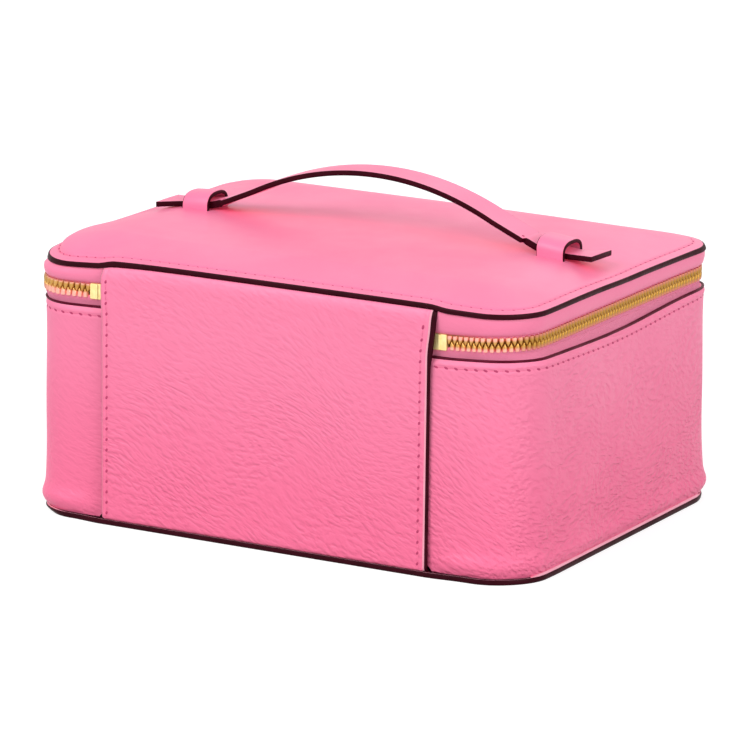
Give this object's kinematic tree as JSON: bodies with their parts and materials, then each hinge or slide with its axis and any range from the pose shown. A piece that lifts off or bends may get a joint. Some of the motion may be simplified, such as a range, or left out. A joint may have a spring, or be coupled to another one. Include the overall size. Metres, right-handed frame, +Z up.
{
  "type": "makeup train case",
  "caption": "Leather-covered box case with a padded lid hinged along one long side, a brass zip round the other three sides, and a strap handle in two leather keepers.",
  "frame": {"origin": "centre of the underside of the base, where the case stands", "axes": "+Z up; +X along the case's length; the lid's hinge is on the +Y side and the side that opens faces -Y"},
  "size_m": [0.2, 0.159, 0.1233],
  "materials": {
    "leather": "fine embossed cross grain, semi-matt",
    "edge_lacquer": "dark glossy edge paint",
    "board": "grey-brown fibreboard",
    "lining": "fine woven cloth, matt",
    "foam": "open-cell foam",
    "zip_tape": "woven zip tape, matt",
    "brass": "polished yellow brass"
  },
  "bodies": {
    "case": {"base_panel": "leather", "base_edge_lacquer": "edge_lacquer", "base_board": "board", "base_lining": "lining", "body_wall": "leather", "body_edge_lacquer": "edge_lacquer", "body_wall_board": "board", "body_wall_lining": "lining", "hinge_panel_body": "leather", "zip_tape_body": "zip_tape", "zip_teeth_body": "brass", "zip_stop_left": "brass", "zip_stop_right": "brass"},
    "lid": {"lid_top_panel": "leather", "lid_edge_lacquer": "edge_lacquer", "lid_foam_pad": "foam", "lid_board": "board", "lid_gusset": "leather", "lid_wall_board": "board", "lid_lining": "lining", "hinge_panel_lid": "leather", "zip_tape_lid": "zip_tape", "zip_teeth_lid": "brass", "keeper_left": "leather", "keeper_right": "leather"},
    "slider_left": {"zip_slider_left": "brass"},
    "slider_right": {"zip_slider_right": "brass"},
    "link_left": {"pull_link_left": "brass"},
    "link_right": {"pull_link_right": "brass"},
    "tab_left": {"pull_tab_left": "leather"},
    "tab_right": {"pull_tab_right": "leather"},
    "strap_grip": {"strap_grip": "leather"},
    "strap_riser_left": {"strap_riser_left": "leather"},
    "strap_riser_right": {"strap_riser_right": "leather"},
    "strap_tail_left": {"strap_tail_left": "leather"},
    "strap_tail_right": {"strap_tail_right": "leather"}
  },
  "joints": [
    {"name": "lid_hinge", "type": "hinge", "parent": "case", "child": "lid", "pos_m": [0, 0.07865, 0.0847], "axis": [-1, 0, 0], "range_deg": [0, 110]},
    {"name": "zip_slide_left", "type": "slide", "parent": "case", "child": "slider_left", "axis": [-1, 0, 0], "range_m": [0, 0.06]},
    {"name": "pull_swing_left", "type": "hinge", "parent": "slider_left", "child": "link_left", "pos_m": [-0.0058, -0.0789, 0.0847], "axis": [-1, 0, 0], "range_deg": [0, 120]},
    {"name": "tab_swing_left", "type": "hinge", "parent": "link_left", "child": "tab_left", "pos_m": [-0.0058, -0.0789, 0.0757], "axis": [-1, 0, 0], "range_deg": [0, 50]},
    {"name": "zip_slide_right", "type": "slide", "parent": "case", "child": "slider_right", "axis": [1, 0, 0], "range_m": [0, 0.06]},
    {"name": "pull_swing_right", "type": "hinge", "parent": "slider_right", "child": "link_right", "pos_m": [0.0058, -0.0789, 0.0847], "axis": [-1, 0, 0], "range_deg": [0, 120]},
    {"name": "tab_swing_right", "type": "hinge", "parent": "link_right", "child": "tab_right", "pos_m": [0.0058, -0.0789, 0.0757], "axis": [-1, 0, 0], "range_deg": [0, 50]},
    {"name": "handle_lift", "type": "slide", "parent": "lid", "child": "strap_grip", "axis": [0, 0, 1], "range_m": [-0.0055, 0.002]},
    {"name": "riser_bend_left", "type": "hinge", "parent": "strap_grip", "child": "strap_riser_left", "pos_m": [-0.049, 0, 0.1103], "axis": [0, -1, 0], "range_deg": [-19.1, 7.3]},
    {"name": "tail_bend_left", "type": "hinge", "parent": "strap_riser_left", "child": "strap_tail_left", "pos_m": [-0.0655, 0, 0.104], "axis": [0, -1, 0], "range_deg": [-7.3, 19.1]},
    {"name": "riser_bend_right", "type": "hinge", "parent": "strap_grip", "child": "strap_riser_right", "pos_m": [0.049, 0, 0.1103], "axis": [0, 1, 0], "range_deg": [-19.1, 7.3]},
    {"name": "tail_bend_right", "type": "hinge", "parent": "strap_riser_right", "child": "strap_tail_right", "pos_m": [0.0655, 0, 0.104], "axis": [0, 1, 0], "range_deg": [-7.3, 19.1]}
  ],
  "couplings": [
    {"joint": "riser_bend_left", "follows": "handle_lift", "rad_per_m": 59},
    {"joint": "tail_bend_left", "follows": "handle_lift", "rad_per_m": -59},
    {"joint": "riser_bend_right", "follows": "handle_lift", "rad_per_m": 59},
    {"joint": "tail_bend_right", "follows": "handle_lift", "rad_per_m": -59}
  ]
}
